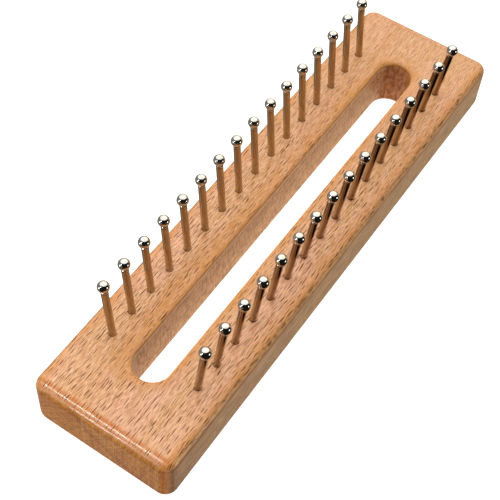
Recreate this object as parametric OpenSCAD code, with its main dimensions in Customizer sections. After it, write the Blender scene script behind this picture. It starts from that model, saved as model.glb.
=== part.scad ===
// Straight knitting loom: a solid beech board with a long slot through it and two
// rows of ball-headed steel pegs. The stitches are worked on the pegs, and the
// knitting goes down through the slot.
//
// Frame: X along the board, Y across it, Z up. The origin is at the middle of the
// board's underside. The left row is on +Y and the right row on -Y.

/* [Board] */
// Length of the board
board_l = 204; // [180:1:240]
// Width of the board
board_w = 52; // [48:1:70]
// Thickness of the board
board_h = 20; // [16:0.5:30]
// Radius of the four corners, seen from above
corner_r = 4.5; // [4:0.5:8]
// Radius of the round-over along the top and bottom edges
edge_r = 3; // [1:0.5:3.5]

/* [Slot] */
// Length of the slot over its round ends
slot_l = 162; // [120:1:170]
// Width of the slot
slot_w = 13; // [8:0.5:16]
// Radius of the round-over along the slot's edges
slot_edge_r = 1.5; // [0.5:0.5:2]

/* [Pegs] */
// Pegs in each row
pegs_per_row = 16; // [4:1:16]
// Distance from one peg to the next in a row
pitch = 10; // [8:0.5:10]
// Distance between the two rows at the board's top face
row_gap = 32.5; // [28:0.5:36]
// Outward lean of every peg, in degrees
splay = 6; // [0:0.5:8]
// Lean along the board, in degrees: the left row to the far end, the right to the near
row_skew = 1.1; // [-2:0.1:2]
// How far the rows stand off the middle of the board, towards the far end
rows_shift = 1.4; // [-3:0.1:3]
// Height of a ball's centre above the board's top face
ball_rise = 23.5; // [15:0.5:30]
// Diameter of the ball
ball_d = 4; // [3.5:0.1:5]
// Diameter of the shank
shank_d = 2.5; // [2:0.1:3]
// Diameter at the turned groove under the ball
neck_d = 2.2; // [1.6:0.1:2.4]
// Length of the shank inside the board
seat_depth = 12; // [8:0.5:14]

/* [Hidden] */
$fn = 48;

// Room all round the shank in its hole, which the glue fills.
glue_gap = 0.05;
// Chamfer round the mouth of each hole.
mouth_chamfer = 0.1;
// Chamfer on both ends of the shank.
shank_chamfer = 0.2;
// Height of the groove that shows between the shank and the ball.
neck_h = 0.1;
// How far a cutter runs past the face that it cuts.
over = 1;
// Width of the band that follows the slot's edge.
lip_w = 3.5;

shank_r = shank_d / 2;
hole_r = shank_r + glue_gap;
ball_r = ball_d / 2;
neck_r = neck_d / 2;
// Distances along a peg from the board's top face, because the peg leans.
ball_z = ball_rise / cos(splay) / cos(row_skew);
shank_top = ball_z - sqrt(ball_r * ball_r - neck_r * neck_r) - neck_h;

// Half lengths of the straight stretches between the corner arcs.
side_x = board_l / 2 - corner_r;
side_y = board_w / 2 - corner_r;
// Centre of the slot's round end, and the slot's half width.
slot_end_x = (slot_l - slot_w) / 2;
slot_r = slot_w / 2;

sides = ["right", "left"];
function two_digits(n) = str(n < 10 ? "0" : "", n);
function peg_name(side, n) = str("peg_", sides[side], "_", two_digits(n));

// A quarter of a disc, used to round the corner of a section.
module quarter_disc(r) {
    intersection() {
        circle(r);
        square(r);
    }
}

// Section of the board's rim: w wide and as high as the board, with the two corners
// on its far side rounded by r.
module rim_section(w, r) {
    square([w - r, board_h]);
    translate([w - r, r]) square([r, board_h - 2 * r]);
    translate([w - r, board_h - r]) quarter_disc(r);
    translate([w - r, r]) mirror([0, 1]) quarter_disc(r);
}

// A straight piece of rim that runs along X for a length of l. Its section grows
// towards +Y from y = 0.
module straight_rim(l, w, r) {
    translate([-l / 2, 0, 0]) rotate([90, 0, 90]) linear_extrude(l) rim_section(w, r);
}

// One corner of the board, turned about the arc's centre.
module corner() {
    rotate_extrude(angle = 90) rim_section(corner_r, edge_r);
}

// The outer rim: two long sides, two ends and four corners.
module outer_rim() {
    for (m = [0, 1]) mirror([0, m, 0]) translate([0, side_y, 0]) {
        straight_rim(2 * side_x, corner_r, edge_r);
    }
    for (m = [0, 1]) mirror([m, 0, 0]) translate([side_x, 0, 0]) rotate([0, 0, -90]) {
        straight_rim(2 * side_y, corner_r, edge_r);
    }
    for (mx = [0, 1]) for (my = [0, 1]) mirror([mx, 0, 0]) mirror([0, my, 0]) {
        translate([side_x, side_y, 0]) corner();
    }
}

// Plan of a slot with round ends of radius r.
module slot_plan(r) {
    square([2 * slot_end_x, 2 * r], center = true);
    for (s = [-1, 1]) translate([s * slot_end_x, 0]) circle(r);
}

// The band of wood next to the slot, with its top and bottom edges rounded over.
module slot_lip() {
    band_r = slot_r + lip_w;
    for (m = [0, 1]) mirror([0, m, 0]) translate([0, band_r, 0]) mirror([0, 1, 0]) {
        straight_rim(2 * slot_end_x, lip_w, slot_edge_r);
    }
    for (m = [0, 1]) mirror([m, 0, 0]) translate([slot_end_x, 0, 0]) rotate([0, 0, -90]) {
        rotate_extrude(angle = 180) translate([band_r, 0]) mirror([1, 0]) {
            rim_section(lip_w, slot_edge_r);
        }
    }
}

// The flat middle of the board, between the slot's band and the outer rim.
module middle() {
    linear_extrude(board_h) difference() {
        square([2 * side_x, 2 * side_y], center = true);
        slot_plan(slot_r + lip_w);
    }
}

// Puts its children on the axis of a peg, with z = 0 where the peg leaves the board.
// side is 0 for the right row and 1 for the left row; n counts from the near end.
module at_peg(side, n) {
    outward = side == 1 ? 1 : -1;
    x = rows_shift + (n - (pegs_per_row + 1) / 2) * pitch;
    translate([x, outward * row_gap / 2, board_h]) {
        rotate([-outward * splay, outward * row_skew, 0]) children();
    }
}

// The blind hole that a peg is glued into, with a small chamfer round its mouth.
module peg_hole() {
    translate([0, 0, -seat_depth]) cylinder(h = seat_depth + over, r = hole_r);
    translate([0, 0, -mouth_chamfer]) {
        cylinder(h = mouth_chamfer + over, r1 = hole_r, r2 = hole_r + mouth_chamfer + over);
    }
}

module board() {
    color([0.86, 0.65, 0.45]) difference() {
        union() {
            outer_rim();
            slot_lip();
            middle();
        }
        for (s = [0, 1]) for (n = [1 : pegs_per_row]) at_peg(s, n) peg_hole();
    }
}

// One turned peg: a shank with chamfered ends, a fine groove and a ball.
module peg() {
    straight = shank_top + seat_depth - 2 * shank_chamfer;
    color([0.78, 0.78, 0.8]) {
        translate([0, 0, ball_z]) sphere(ball_r);
        translate([0, 0, shank_top - over]) cylinder(h = over + ball_z - shank_top, r = neck_r);
        translate([0, 0, -seat_depth + shank_chamfer]) cylinder(h = straight, r = shank_r);
        translate([0, 0, shank_top - shank_chamfer]) {
            cylinder(h = shank_chamfer, r1 = shank_r, r2 = shank_r - shank_chamfer);
        }
        translate([0, 0, -seat_depth]) {
            cylinder(h = shank_chamfer, r1 = shank_r - shank_chamfer, r2 = shank_r);
        }
    }
}

board();
for (s = [0, 1]) for (n = [1 : pegs_per_row]) {
    at_peg(s, n) peg();
}
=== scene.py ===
"""Straight knitting loom: a beech board with a long slot and two rows of ball-headed steel pegs."""

import math
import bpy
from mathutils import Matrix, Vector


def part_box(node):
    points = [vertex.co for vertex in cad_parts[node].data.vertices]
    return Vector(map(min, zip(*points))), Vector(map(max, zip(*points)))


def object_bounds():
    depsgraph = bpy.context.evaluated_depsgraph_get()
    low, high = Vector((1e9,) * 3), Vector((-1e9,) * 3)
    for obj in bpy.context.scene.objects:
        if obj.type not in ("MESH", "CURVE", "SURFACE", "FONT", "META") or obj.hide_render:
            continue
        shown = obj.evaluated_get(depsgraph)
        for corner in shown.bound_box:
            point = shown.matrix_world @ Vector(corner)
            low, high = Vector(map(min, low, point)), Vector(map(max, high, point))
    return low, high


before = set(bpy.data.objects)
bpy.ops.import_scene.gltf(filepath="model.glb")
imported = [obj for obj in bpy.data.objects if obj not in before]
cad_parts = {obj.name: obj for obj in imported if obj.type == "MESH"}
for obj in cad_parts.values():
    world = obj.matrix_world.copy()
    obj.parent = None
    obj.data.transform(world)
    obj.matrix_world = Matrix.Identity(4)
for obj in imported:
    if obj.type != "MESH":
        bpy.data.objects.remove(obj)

from types import SimpleNamespace

import bpy
from mathutils import Matrix, Vector

cad_low, cad_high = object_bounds()

MM = 0.001
BOARD_LOW, BOARD_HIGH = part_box("board")

# In millimetres: half the board, and the whole slot over its round ends.
BOARD_HALF = (BOARD_HIGH - BOARD_LOW) / 2 / MM
SLOT_LENGTH, SLOT_WIDTH = 162.0, 13.0

# A level direction from the loom. The room is dark there, and the pegs carry a painted dark reflection on
# that side.
NEAR_RIGHT = Vector((-0.50, -0.87, 0.0))


# ---------------------------------------------------------------- node helpers


class Graph:
    """Builds one node tree. Methods that make a node return its output socket."""

    def __init__(self, owner):
        owner.use_nodes = True
        self.owner = owner
        self.tree = owner.node_tree

    def link(self, value, socket):
        """Feeds a socket from an output socket, or sets it to a plain value."""
        if isinstance(value, bpy.types.NodeSocket):
            self.tree.links.new(value, socket)
        else:
            socket.default_value = value

    def node(self, kind, **settings):
        """Makes a node and returns the node itself."""
        made = self.tree.nodes.new(kind)
        for key, value in settings.items():
            setattr(made, key, value)
        return made

    def position(self):
        """The point on the object, in millimetres in the row frame."""
        coords = self.node("ShaderNodeTexCoord").outputs["Object"]
        return self.vector("SCALE", coords, scale=1 / MM)

    def normal(self):
        return self.node("ShaderNodeNewGeometry").outputs["Normal"]

    def toward(self, direction):
        """How much the surface faces a direction: 1 squarely, -1 squarely away."""
        return self.vector("DOT_PRODUCT", self.normal(), direction)

    def vector(self, operation, a, b=None, scale=None):
        made = self.node("ShaderNodeVectorMath", operation=operation)
        self.link(a, made.inputs[0])
        if b is not None:
            self.link(b, made.inputs[1])
        if scale is not None:
            self.link(scale, made.inputs["Scale"])
        scalar = operation in ("LENGTH", "DOT_PRODUCT")
        return made.outputs["Value" if scalar else "Vector"]

    def split(self, vector):
        """The X, Y and Z parts."""
        made = self.node("ShaderNodeSeparateXYZ")
        self.link(vector, made.inputs[0])
        return made.outputs[:3]

    def join(self, x, y, z):
        made = self.node("ShaderNodeCombineXYZ")
        for value, socket in zip((x, y, z), made.inputs):
            self.link(value, socket)
        return made.outputs[0]

    def math(self, operation, a, b=0.0, c=0.0):
        made = self.node("ShaderNodeMath", operation=operation)
        for value, socket in zip((a, b, c), made.inputs):
            self.link(value, socket)
        return made.outputs[0]

    def times(self, *values):
        product = values[0]
        for value in values[1:]:
            product = self.math("MULTIPLY", product, value)
        return product

    def most(self, *values):
        """The greatest of the values."""
        greatest = values[0]
        for value in values[1:]:
            greatest = self.math("MAXIMUM", greatest, value)
        return greatest

    def fit(self, value, low, high, to_low, to_high, smooth=True):
        """Maps low..high to to_low..to_high and clamps it."""
        made = self.node("ShaderNodeMapRange")
        made.interpolation_type = "SMOOTHSTEP" if smooth else "LINEAR"
        for item, socket in zip((value, low, high, to_low, to_high), made.inputs):
            self.link(item, socket)
        return made.outputs[0]

    def rise(self, value, low, high, top=1.0):
        """0 up to low, growing smoothly to the top at high."""
        return self.fit(value, low, high, 0.0, top)

    def fall(self, value, low, high, top=1.0):
        """The top up to low, shrinking smoothly to 0 at high."""
        return self.fit(value, low, high, top, 0.0)

    def hump(self, value, start, peak, end):
        """1 at the peak, falling smoothly to 0 at the start and the end."""
        return self.times(self.rise(value, start, peak), self.fall(value, peak, end))

    def in_cells(self, point, size):
        """The point measured in cells of a size in millimetres along X, Y and Z."""
        return self.vector("MULTIPLY", point, [1 / length for length in size])

    def noise(self, point, size, detail=2.0, roughness=0.5, distortion=0.0):
        """Cloudy noise about 0.5, whose clouds are about a size in millimetres."""
        made = self.node("ShaderNodeTexNoise")
        self.link(self.in_cells(point, size), made.inputs["Vector"])
        made.inputs["Scale"].default_value = 1.0
        made.inputs["Detail"].default_value = detail
        made.inputs["Roughness"].default_value = roughness
        made.inputs["Distortion"].default_value = distortion
        return made.outputs["Fac"]

    def sway(self, point, size, detail=2.0):
        """The same noise about 0."""
        return self.math("SUBTRACT", self.noise(point, size, detail), 0.5)

    def scatter(self, vector):
        """One random point per unit cell in the XY plane: the way here from the nearest, and its colour."""
        made = self.node("ShaderNodeTexVoronoi", voronoi_dimensions="2D")
        self.link(vector, made.inputs["Vector"])
        made.inputs["Scale"].default_value = 1.0
        made.inputs["Randomness"].default_value = 0.9
        return self.vector("SUBTRACT", vector, made.outputs["Position"]), made.outputs["Color"]

    def mix(self, factor, a, b):
        made = self.node("ShaderNodeMix", data_type="RGBA")
        self.link(factor, made.inputs["Factor"])
        self.link(a, made.inputs[6])
        self.link(b, made.inputs[7])
        return made.outputs[2]

    def paint(self, colour, layers):
        """The colour under layers, each given as how much it covers, 0 to 1, and its own colour."""
        for cover, tint in layers:
            colour = self.mix(cover, colour, tint)
        return colour

    def bump(self, height, strength, distance):
        made = self.node("ShaderNodeBump")
        made.inputs["Strength"].default_value = strength
        made.inputs["Distance"].default_value = distance
        self.link(height, made.inputs["Height"])
        return made.outputs[0]

    def shade(self, **values):
        """Sets the surface shader's sockets: underscores stand for spaces."""
        shader = self.tree.nodes["Principled BSDF"]
        for name, value in values.items():
            self.link(value, shader.inputs[name.replace("_", " ")])
        return self.owner


def rgb(red, green, blue):
    """An sRGB colour, 0 to 255, as the linear colour that a shader takes."""
    def linear(value):
        value /= 255
        return value / 12.92 if value <= 0.04045 else ((value + 0.055) / 1.055) ** 2.4
    return (linear(red), linear(green), linear(blue), 1.0)


def material(name):
    return Graph(bpy.data.materials.new(name))


# ---------------------------------------------------------------- places on the board

# The tree's pith ran along X, above the board and to its right: the rings are arcs about it.
PITH_Y, PITH_Z = -37.0, 64.0
ARC_RADIUS = 60.0
RING_WIDTH = 3.1

# Added to a height, so that a side's flecks come from another part of the pattern than the top's.
SIDE_PATTERN = 90.0


def log_point(g, point):
    """The point in the tree's own directions: along the grain, round the rings, out from the pith."""
    x, y, z = g.split(point)
    across = g.math("SUBTRACT", y, PITH_Y)
    below = g.math("SUBTRACT", PITH_Z, z)
    radius = g.vector("LENGTH", g.join(0.0, across, below))
    arc = g.times(g.math("ARCTAN2", across, below), ARC_RADIUS)
    arc = g.math("MULTIPLY_ADD", g.sway(point, (26, 8, 8)), 2.4, arc)
    radius = g.math("MULTIPLY_ADD", g.sway(point, (110, 26, 26)), 9.0, radius)
    return g.join(x, arc, radius)


def grain_point(g, point, side):
    """Along the grain and across it, on the top or on a side, swaying so that no mark is straight."""
    x, y, z = g.split(point)
    on_side = g.math("GREATER_THAN", side, 0.5)
    from_y_to_z = g.math("SUBTRACT", g.math("ADD", z, SIDE_PATTERN), y)
    across = g.math("MULTIPLY_ADD", on_side, from_y_to_z, y)
    return g.join(x, g.math("MULTIPLY_ADD", g.sway(point, (22, 9, 9)), 3.0, across), 0.0)


def slot_distance(g, x, y):
    """Distance in mm outward from the slot's wall, seen from above."""
    radius = SLOT_WIDTH / 2
    straight = SLOT_LENGTH / 2 - radius
    along = g.most(g.math("SUBTRACT", g.math("ABSOLUTE", x), straight), 0.0)
    return g.math("SUBTRACT", g.vector("LENGTH", g.join(along, y, 0.0)), radius)


def survey(g):
    """What the beech's layers need to know about a point of the board, under short names.

    end, side and up say how squarely the surface faces along X, Y and Z. on_wall, outside, top and
    upright are 1 on the slot's walls, beyond the slot's rim, on level wood and on upright wood.
    late is 1 in the dark part of a growth ring. waver, fibre and patchy are noise.
    """
    point = g.position()
    x, y, z = g.split(point)
    end, side, up = (g.times(part, part) for part in g.split(g.normal()))
    log = log_point(g, point)
    waver = g.sway(log, (45, 2.5, 2.5), detail=3)
    rings = g.times(g.math("MULTIPLY_ADD", waver, 1.6, g.split(log)[2]), 1 / RING_WIDTH)
    from_slot = slot_distance(g, x, y)
    return SimpleNamespace(
        point=point, x=x, y=y, z=z, end=end, side=side, up=up,
        log=log, waver=waver, grain=grain_point(g, point, side),
        late=g.rise(g.math("FRACT", rings), 0.45, 1.0),
        fibre=g.noise(log, (3.6, 0.28, 0.28), detail=3, roughness=0.75),
        patchy=g.fit(g.noise(point, (9, 5, 9), detail=3), 0.3, 0.65, 0.5, 1.0),
        from_slot=from_slot,
        on_wall=g.times(g.fall(from_slot, 0.1, 0.4), g.fall(up, 0.0, 0.1)),
        outside=g.rise(from_slot, 1.0, 3.0),
        top=g.rise(up, 0.05, 0.4),
        upright=g.fall(up, 0.02, 0.25),
    )


# ---------------------------------------------------------------- bare beech


def face_grain(g, at):
    """Colour along the grain: golden and pink patches, late-wood bands and fine fibres."""
    patches = g.noise(at.log, (55, 8, 8), detail=3, roughness=0.6)
    bands = g.noise(at.log, (70, 3.2, 3.2), detail=3, roughness=0.6)
    streaks = g.noise(at.log, (10, 0.5, 0.5), detail=3, roughness=0.65)
    heart = g.hump(g.math("MULTIPLY_ADD", at.waver, 5.0, g.split(at.log)[2]), 60.0, 64.0, 69.0)
    golden_and_pink = g.mix(g.rise(patches, 0.38, 0.62), rgb(203, 151, 102), rgb(209, 153, 121))
    return g.paint(golden_and_pink, [
        (g.rise(bands, 0.50, 0.72, 0.60), rgb(184, 124, 66)),
        (g.times(at.late, 0.28), rgb(178, 118, 65)),
        (g.times(heart, 0.40), rgb(184, 122, 62)),
        (g.rise(streaks, 0.47, 0.68, 0.45), rgb(160, 98, 42)),
        (g.fall(at.fibre, 0.34, 0.56, 0.72), rgb(238, 194, 157)),
        (g.rise(at.fibre, 0.52, 0.66, 0.45), rgb(160, 98, 42)),
        # painted shade: the top darkens towards the far end
        (g.rise(at.x, 0.0, 100.0, 0.30), rgb(184, 132, 72)),
    ])


def end_grain(g, at):
    """The ends drink the varnish: darker, with rings, rays and saw marks."""
    stain = g.noise(at.log, (8, 6, 2.5), detail=3)
    pores = g.noise(at.log, (3, 0.35, 0.35), roughness=0.7)
    rays = g.noise(at.log, (8, 0.45, 20.0))
    sawn = g.noise(at.point, (8, 9.0, 0.45), roughness=0.7)
    heart = g.hump(g.split(at.log)[2], 61.5, 63.6, 66.5)
    amber = g.mix(g.rise(stain, 0.35, 0.65), rgb(190, 124, 40), rgb(182, 106, 30))
    return g.paint(amber, [
        (g.rise(pores, 0.40, 0.72, 0.60), rgb(140, 82, 30)),
        (g.rise(rays, 0.47, 0.62, 0.62), rgb(134, 74, 22)),
        (g.fall(rays, 0.30, 0.46, 0.40), rgb(216, 148, 64)),
        (g.rise(sawn, 0.50, 0.66, 0.25), rgb(216, 148, 64)),
        (g.times(at.late, at.late, 0.40), rgb(134, 70, 26)),
        (g.times(heart, 0.55), rgb(134, 62, 24)),
    ])


def slot_end(g, at):
    """The slot's round ends: torn and reddened by the cutter."""
    torn = g.noise(at.point, (1.3, 1.3, 3.0), detail=4, roughness=0.75)
    reddened = g.mix(g.rise(torn, 0.38, 0.58), rgb(122, 70, 40), rgb(192, 132, 90))
    return g.paint(reddened, [(g.rise(torn, 0.56, 0.64, 0.5), rgb(214, 168, 136))])


def long_side(g, at):
    """The slot's walls are pale with cutter marks, partly as raw cut wood and partly as painted light. The
    outer sides are darker with painted shade, dull and mottled, and darker still towards the near end.
    """
    stain = g.noise(at.point, (16, 8, 6))
    fibres = g.noise(at.point, (9, 0.5, 0.5), detail=3, roughness=0.7)
    chatter = g.noise(at.point, (0.8, 6, 4.0), roughness=0.6)
    mottle = g.noise(at.point, (8.0, 6, 1.8), detail=4, roughness=0.65, distortion=0.6)
    beyond_wall = g.rise(at.from_slot, 0.2, 0.6)
    cut = g.fit(at.from_slot, 1.0, 3.0, 1.0, 0.15)
    # painted light on the slot's walls and painted shade on the outer sides, over the raw cut wood's paler
    # tone
    plain = g.mix(beyond_wall, rgb(238, 195, 148), rgb(158, 113, 66))
    stained = g.mix(beyond_wall, rgb(226, 178, 137), rgb(146, 101, 64))
    return g.paint(g.mix(g.rise(stain, 0.35, 0.65), plain, stained), [
        (g.fall(fibres, 0.34, 0.48, 0.40), rgb(222, 178, 134)),
        (g.rise(fibres, 0.45, 0.60, 0.70), rgb(112, 68, 40)),
        (g.times(g.fall(chatter, 0.36, 0.50, 0.55), cut), rgb(244, 212, 178)),
        (g.times(g.rise(chatter, 0.52, 0.66, 0.50), cut), rgb(120, 80, 56)),
        (g.times(g.fall(mottle, 0.34, 0.50, 0.34), at.outside), rgb(208, 166, 128)),
        (g.times(g.rise(mottle, 0.50, 0.66, 0.44), at.outside), rgb(108, 70, 42)),
        # painted shade: the outer sides darken towards the near end
        (g.times(g.fall(at.x, -100.0, -65.0, 0.35), at.outside), rgb(112, 78, 56)),
    ])


def bare_wood(g, at):
    """The wood before its edges and flecks: the face, the long sides and the cut ends."""
    sideways = g.most(g.rise(at.side, 0.88, 0.997), at.on_wall)
    endways = g.most(g.rise(at.end, 0.20, 0.75), g.times(at.on_wall, g.rise(at.end, 0.02, 0.50)))
    along = g.mix(g.times(sideways, 0.85), face_grain(g, at), long_side(g, at))
    cut = g.mix(g.times(at.on_wall, 0.75), end_grain(g, at), slot_end(g, at))
    return g.mix(endways, along, cut)


# ---------------------------------------------------------------- edges

# Each of these returns layers for Graph.paint.


def varnish_and_shade_bands(g, at):
    """Varnish gathers along the top's edges and browns the wood there, in patches. The band across the
    ends' rounded edges, between the gloss streaks, is painted shade.
    """
    to_end = g.math("SUBTRACT", BOARD_HALF.x, g.math("ABSOLUTE", at.x))
    to_side = g.math("SUBTRACT", BOARD_HALF.y, g.math("ABSOLUTE", at.y))
    patches = g.times(at.top, at.patchy)
    near = g.fit(at.x, -70.0, 70.0, 1.0, 0.15)
    left_and_near = g.times(g.rise(at.y, 0.0, 4.0), g.fall(at.x, -70.0, 10.0, 0.6))
    return [
        (g.times(g.hump(at.from_slot, 0.5, 4.0, 8.0), patches, left_and_near), rgb(186, 124, 54)),
        (g.times(g.hump(to_end, 2.4, 3.2, 4.7), patches, near), rgb(188, 102, 12)),
        # painted shade: a darker band across the ends' rounded edges, between the gloss streaks
        (g.times(g.hump(to_end, 0.7, 1.7, 2.5), patches, 0.70), rgb(186, 104, 44)),
        (g.times(g.hump(to_side, 0.2, 1.8, 5.0), patches, 0.75), rgb(198, 126, 52)),
        (g.times(g.hump(at.from_slot, -0.2, 0.8, 5.5), patches, 0.75), rgb(196, 128, 54)),
    ]


def rubbed_edges(g, at):
    """The outer long edges are rubbed: olive, with dark streaks."""
    ridge = g.times(g.hump(at.side, 0.12, 0.60, 0.98), at.top, at.outside)
    streaks = g.noise(at.point, (4.5, 1.0, 1.0), detail=3, roughness=0.7)
    return [
        (g.times(ridge, 0.60), rgb(176, 128, 66)),
        (g.times(ridge, g.rise(streaks, 0.48, 0.62, 0.80)), rgb(88, 52, 24)),
    ]


def slot_rim(g, at):
    """The slot's rounded edges are orange, brightened with painted light, and the top of its walls carries
    a thin painted highlight.
    """
    rounding = g.times(g.hump(at.side, 0.15, 0.75, 0.999), g.fall(at.from_slot, 1.0, 1.4, 0.85))
    lip_highlight = g.times(g.hump(at.z, 16.8, 18.1, 18.7), g.fall(at.from_slot, 0.1, 0.4, 0.75))
    return [
        # orange edge colour, brightened with painted light against the rounding's shade
        (g.times(rounding, at.patchy, at.top), rgb(244, 176, 90)),
        # painted highlight along the top of the slot's walls
        (g.times(lip_highlight, g.rise(at.side, 0.5, 0.9)), rgb(250, 216, 170)),
    ]


def turn_tint_and_shade(g, at):
    """Painted shade where a side starts to round over, and a painted shade line down the four upright
    corners, beside their orange-brown turn.
    """
    rounding = g.times(g.rise(at.up, 0.0, 0.02), at.upright)
    corner = g.times(g.hump(at.side, 0.0, 0.40, 0.90), at.upright, at.outside)
    corner_line = g.times(g.hump(at.side, 0.45, 0.85, 0.998), at.upright, at.outside)
    return [
        # painted shade at the foot of each rounding
        (g.times(rounding, 0.45), rgb(134, 80, 38)),
        (g.times(corner, 0.6), rgb(170, 94, 38)),
        # painted shade line down the upright corners
        (g.times(corner_line, 0.75), rgb(92, 52, 24)),
    ]


# ---------------------------------------------------------------- flecks


def spindles(g, grain, cell, longest, widest, kept):
    """Thin marks along the grain, at most one in each cell. Sizes are in mm, and kept is a share.

    Returns how far out the point is, 0 in the mark's middle and 1 at its outline, and the mark's strength.
    """
    offset, colour = g.scatter(g.in_cells(grain, (*cell, 1)))
    chance, width_chance, depth_chance = g.split(colour)
    half_length = g.fit(chance, 1 - kept, 1.0, longest * 0.25, longest * 0.5, smooth=False)
    half_width = g.fit(width_chance, 0.0, 1.0, widest * 0.28, widest * 0.5, smooth=False)
    x, y, _ = g.split(offset)
    along = g.math("DIVIDE", g.times(x, cell[0]), half_length)
    across = g.math("DIVIDE", g.times(y, cell[1]), half_width)
    out = g.math("ADD", g.times(along, along), g.math("ABSOLUTE", across))
    depth = g.fit(depth_chance, 0.0, 1.0, 0.65, 1.0)
    return out, g.times(g.math("GREATER_THAN", chance, 1 - kept), depth)


def core(g, marks):
    """The inside of the marks."""
    out, strength = marks
    return g.times(g.fall(out, 0.65, 1.0), strength)


def rim(g, marks):
    """A ring round the outside of the marks."""
    out, strength = marks
    return g.times(g.hump(out, 0.8, 1.4, 2.6), strength)


def ray_flecks(g, at):
    """Beech's dark rays, and a painted highlight round them. They fade with distance and off the top."""
    large = spindles(g, at.grain, cell=(4.2, 1.5), longest=5.2, widest=0.48, kept=0.85)
    small = spindles(g, at.grain, cell=(2.7, 0.8), longest=3.0, widest=0.30, kept=0.80)
    dark = g.times(
        g.most(core(g, large), g.times(core(g, small), 0.60)),
        g.fit(at.x, 0.0, 90.0, 1.0, 0.55),
        g.fall(at.end, 0.1, 0.5),
        g.fit(at.side, 0.5, 0.95, 1.0, 0.25),
    )
    fleck_highlight = g.most(rim(g, large), g.times(rim(g, small), 0.4))
    return dark, fleck_highlight


def dents(g, at):
    """Dark specks along the outer long edges."""
    marks = spindles(g, at.grain, cell=(9.0, 3.6), longest=3.0, widest=1.9, kept=0.55)
    edge = g.times(g.hump(at.side, 0.02, 0.70, 1.02), at.outside)
    return g.times(core(g, marks), edge, g.fall(at.end, 0.0, 0.1))


def relief(g, at, dark):
    """Raised fibres, sunken flecks and rippled ends, as a bump."""
    ripple = g.noise(at.log, (3.0, 0.7, 3.0), roughness=0.6)
    rough_end = g.times(ripple, g.rise(at.end, 0.01, 0.10), 4.5)
    height = g.math("MULTIPLY_ADD", dark, -0.3, g.math("MULTIPLY_ADD", at.fibre, 0.35, rough_end))
    return g.bump(height, strength=0.35, distance=0.05 * MM)


# ---------------------------------------------------------------- the beech


def beech():
    """Clear-varnished beech, with its grain along X."""
    g = material("beech")
    at = survey(g)
    dark, fleck_highlight = ray_flecks(g, at)
    flecked = [
        # painted highlight round each fleck
        (g.times(fleck_highlight, 0.30), rgb(236, 184, 134)),
        (dark, rgb(98, 40, 0)),
        (g.times(dents(g, at), 0.75), rgb(84, 48, 26)),
    ]
    edges = varnish_and_shade_bands(g, at) + rubbed_edges(g, at) + slot_rim(g, at) + turn_tint_and_shade(g, at)
    return g.shade(
        Base_Color=g.paint(bare_wood(g, at), edges + flecked),
        Roughness=g.fit(at.fibre, 0.3, 0.8, 0.40, 0.52),
        Normal=relief(g, at, dark),
        IOR=1.5,
        Specular_IOR_Level=0.1,
        Coat_Weight=0.5,
        Coat_Roughness=0.10,
    )


# ---------------------------------------------------------------- steel

# Heights above the floor in mm. The groove lies under the ball: its start, its middle and its end.
GROOVE = (40.6, 41.2, 41.8)
BALL_STARTS = (41.0, 41.6)
LOW_STREAK = (24.5, 29.0, 34.0)
HIGH_STREAK_STARTS = (30.0, 35.0)
TOP_DIMS = (28.0, 37.0)


def on_right_row(g, y):
    """1 on the right row's pegs and 0 on the left row's."""
    return g.math("LESS_THAN", y, 0.0)


def painted_brown_reflection(g, y):
    """Painted reflection: how far the shank is browned to stand for the brown wood it mirrors, most on the
    right row's outer sides.
    """
    outward = g.toward((-0.84, -0.54, 0.0))
    browner = g.math("MULTIPLY_ADD", on_right_row(g, y), 0.48, 0.22)
    return g.times(g.rise(outward, 0.78, 0.98), browner)


def painted_dark_reflection(g, x, y, height):
    """Painted dark reflections on the right row: a low streak on the side facing near right, a high one on
    the side facing near left, and tops that darken towards the far end.
    """
    away = g.rise(g.toward(NEAR_RIGHT), 0.92, 1.0)
    nearer = g.rise(g.toward((-0.83, 0.56, 0.0)), 0.80, 1.0, 0.8)
    low_streak = g.times(away, g.hump(height, *LOW_STREAK))
    high_streak = g.times(nearer, g.rise(height, *HIGH_STREAK_STARTS))
    dim_top = g.times(g.rise(height, *TOP_DIMS), g.fit(x, -80.0, 80.0, 0.20, 0.90))
    return g.times(g.most(low_streak, high_streak, dim_top), on_right_row(g, y), 0.6)


def polished_steel():
    """Nickel-plated steel: a mirror on the ball, drawn wire on the shank."""
    g = material("peg_steel")
    point = g.position()
    x, y, height = g.split(point)
    on_ball = g.rise(height, *BALL_STARTS)
    groove = g.hump(height, *GROOVE)
    haze = g.noise(point, (1.4, 1.4, 1.4), detail=3)
    drawn = g.noise(point, (0.22, 0.22, 14))
    ball = g.mix(haze, rgb(214, 211, 204), rgb(198, 194, 185))
    shank = g.paint(g.mix(haze, rgb(192, 176, 150), rgb(176, 158, 130)), [
        # painted reflection: the shank's outer side is browned for the wood it mirrors
        (painted_brown_reflection(g, y), rgb(130, 88, 50)),
        # painted dark reflection: black streaks and dim tops on the right row's shanks
        (painted_dark_reflection(g, x, y, height), rgb(52, 30, 18)),
        # painted shade: a dark brown band in the groove under the ball
        (g.times(groove, 0.8), rgb(120, 88, 58)),
    ])
    shank_roughness = g.math("MULTIPLY_ADD", groove, 0.35, g.fit(drawn, 0.3, 0.7, 0.07, 0.15))
    ball_roughness = g.fit(haze, 0.3, 0.7, 0.04, 0.09)
    smoother = g.math("SUBTRACT", ball_roughness, shank_roughness)
    return g.shade(
        Base_Color=g.mix(on_ball, shank, ball),
        Metallic=1.0,
        Roughness=g.math("MULTIPLY_ADD", on_ball, smoother, shank_roughness),
        Normal=g.bump(drawn, strength=0.12, distance=0.01 * MM),
    )


# ---------------------------------------------------------------- the loom


def wear(piece, made):
    """Gives the piece one material in place of any it has."""
    piece.data.materials.clear()
    piece.data.materials.append(made)


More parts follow.
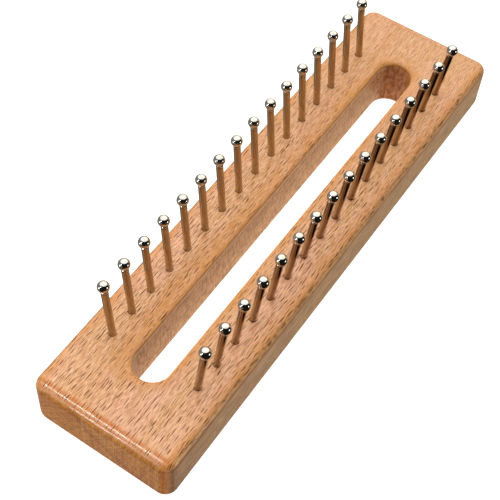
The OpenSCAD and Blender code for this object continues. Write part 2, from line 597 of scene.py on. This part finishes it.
def dress_loom():
    """Puts beech on the board and steel on the pegs."""
    wood = beech()
    steel = polished_steel()
    for name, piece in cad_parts.items():
        is_wood = name == "board"
        wear(piece, wood if is_wood else steel)


# ---------------------------------------------------------------- the studio

FLOOR_HALF = 3.0
FLOOR_DROP = 0.1 * MM
WHITE = (1, 1, 1, 1)


def white_card():
    """White from above. From below it is clear, so that the board's underside can be looked at."""
    g = material("floor")
    grain = g.noise(g.position(), (3, 3, 3))
    one_sided = g.node("ShaderNodeMixShader")
    g.link(g.node("ShaderNodeNewGeometry").outputs["Backfacing"], one_sided.inputs[0])
    g.link(g.tree.nodes["Principled BSDF"].outputs[0], one_sided.inputs[1])
    g.link(g.node("ShaderNodeBsdfTransparent").outputs[0], one_sided.inputs[2])
    g.link(one_sided.outputs[0], g.tree.nodes["Material Output"].inputs["Surface"])
    return g.shade(
        Base_Color=g.mix(grain, (0.55, 0.55, 0.55, 1), (0.57, 0.57, 0.57, 1)),
        Roughness=0.9,
        Specular_IOR_Level=0.2,
        Emission_Color=WHITE,
        Emission_Strength=0.85,
    )


def floor():
    """A white card just under the board, which the pegs don't mirror."""
    half = FLOOR_HALF
    mesh = bpy.data.meshes.new("floor")
    corners = [(-half, -half, 0), (half, -half, 0), (half, half, 0), (-half, half, 0)]
    mesh.from_pydata(corners, [], [(0, 1, 2, 3)])
    made = bpy.data.objects.new("floor", mesh)
    bpy.context.scene.collection.objects.link(made)
    made.location.z = cad_low.z - FLOOR_DROP
    made.visible_glossy = False
    wear(made, white_card())


def softbox(name, about, direction, distance, size, radiance, shadow=True):
    """An elliptical area light that stands off from a point in a direction, and faces the point."""
    width, height = size
    light = bpy.data.lights.new(name, "AREA")
    light.shape = "ELLIPSE"
    light.size = width
    light.size_y = height
    light.energy = radiance * 4 * width * height
    light.use_shadow = shadow
    made = bpy.data.objects.new(name, light)
    made.location = about + direction.normalized() * distance
    made.rotation_euler = direction.to_track_quat("Z", "Y").to_euler()
    made.visible_camera = False
    bpy.context.scene.collection.objects.link(made)


def lights():
    """One wide light above, two thin ones for the gloss on the near end's edge, and one at each side."""
    middle = Vector((0.0, 0.0, BOARD_HIGH.z))
    near_end = Vector((BOARD_LOW.x, 0.0, BOARD_HIGH.z))
    softbox("overhead", middle, Vector((0.39, 0.24, 0.89)), 1.0, (2.9, 2.9), 0.82)
    softbox("end_high", near_end, Vector((-0.006, 0.315, 0.950)), 0.55, (0.04, 0.18), 30, shadow=False)
    softbox("end_low", near_end, Vector((-0.772, 0.315, 0.555)), 0.55, (0.04, 0.18), 14, shadow=False)
    softbox("left", middle, Vector((-0.826, 0.536, 0.0)), 1.2, (0.32, 0.32), 3.5)
    softbox("right", middle, Vector((0.244, -0.960, 0.0)), 1.8, (0.48, 0.48), 3.5)


def room():
    """White to the camera. Round the object it is grey, and dark beyond its near right side."""
    world = bpy.data.worlds.new("studio")
    g = Graph(world)
    direction = g.node("ShaderNodeTexCoord").outputs["Generated"]
    toward_dark = g.vector("DOT_PRODUCT", direction, NEAR_RIGHT)
    toward_pale = g.vector("DOT_PRODUCT", direction, Vector((0.87, -0.50, 0.0)))
    lit = g.mix(g.rise(toward_pale, 0.15, 0.55), rgb(144, 144, 140), rgb(190, 172, 140))
    around = g.mix(g.rise(toward_dark, 0.03, 0.25), lit, rgb(30, 28, 26))
    seen = g.node("ShaderNodeLightPath").outputs["Is Camera Ray"]
    g.link(g.mix(seen, around, WHITE), g.tree.nodes["Background"].inputs["Color"])
    bpy.context.scene.world = world


# ---------------------------------------------------------------- the camera

# In metres in the row frame. The camera looks down on the near right corner.
EYE = Vector((-0.2143, -0.1105, 0.3328))
AIM = Vector((-0.0160, 0.0028, 0.0100))
ROLL = math.radians(-5.1)
LENS_MM, SENSOR_MM = 83.9, 36
CLIP = (0.01, 20)


def camera():
    """Stands at the eye, looks at the aim, and is turned a little about its own axis."""
    forward = (AIM - EYE).normalized()
    level = forward.cross(Vector((0, 0, 1))).normalized()
    right = Matrix.Rotation(ROLL, 3, forward) @ level
    up = right.cross(forward)
    turn = Matrix((right, up, -forward)).transposed()
    data = bpy.data.cameras.new("camera")
    data.lens = LENS_MM
    data.sensor_width = SENSOR_MM
    data.clip_start, data.clip_end = CLIP
    made = bpy.data.objects.new("camera", data)
    made.matrix_world = Matrix.Translation(EYE) @ turn.to_4x4()
    bpy.context.scene.collection.objects.link(made)
    bpy.context.scene.camera = made


camera()
dress_loom()
floor()
lights()
room()
bpy.context.scene.view_settings.view_transform = "Standard"
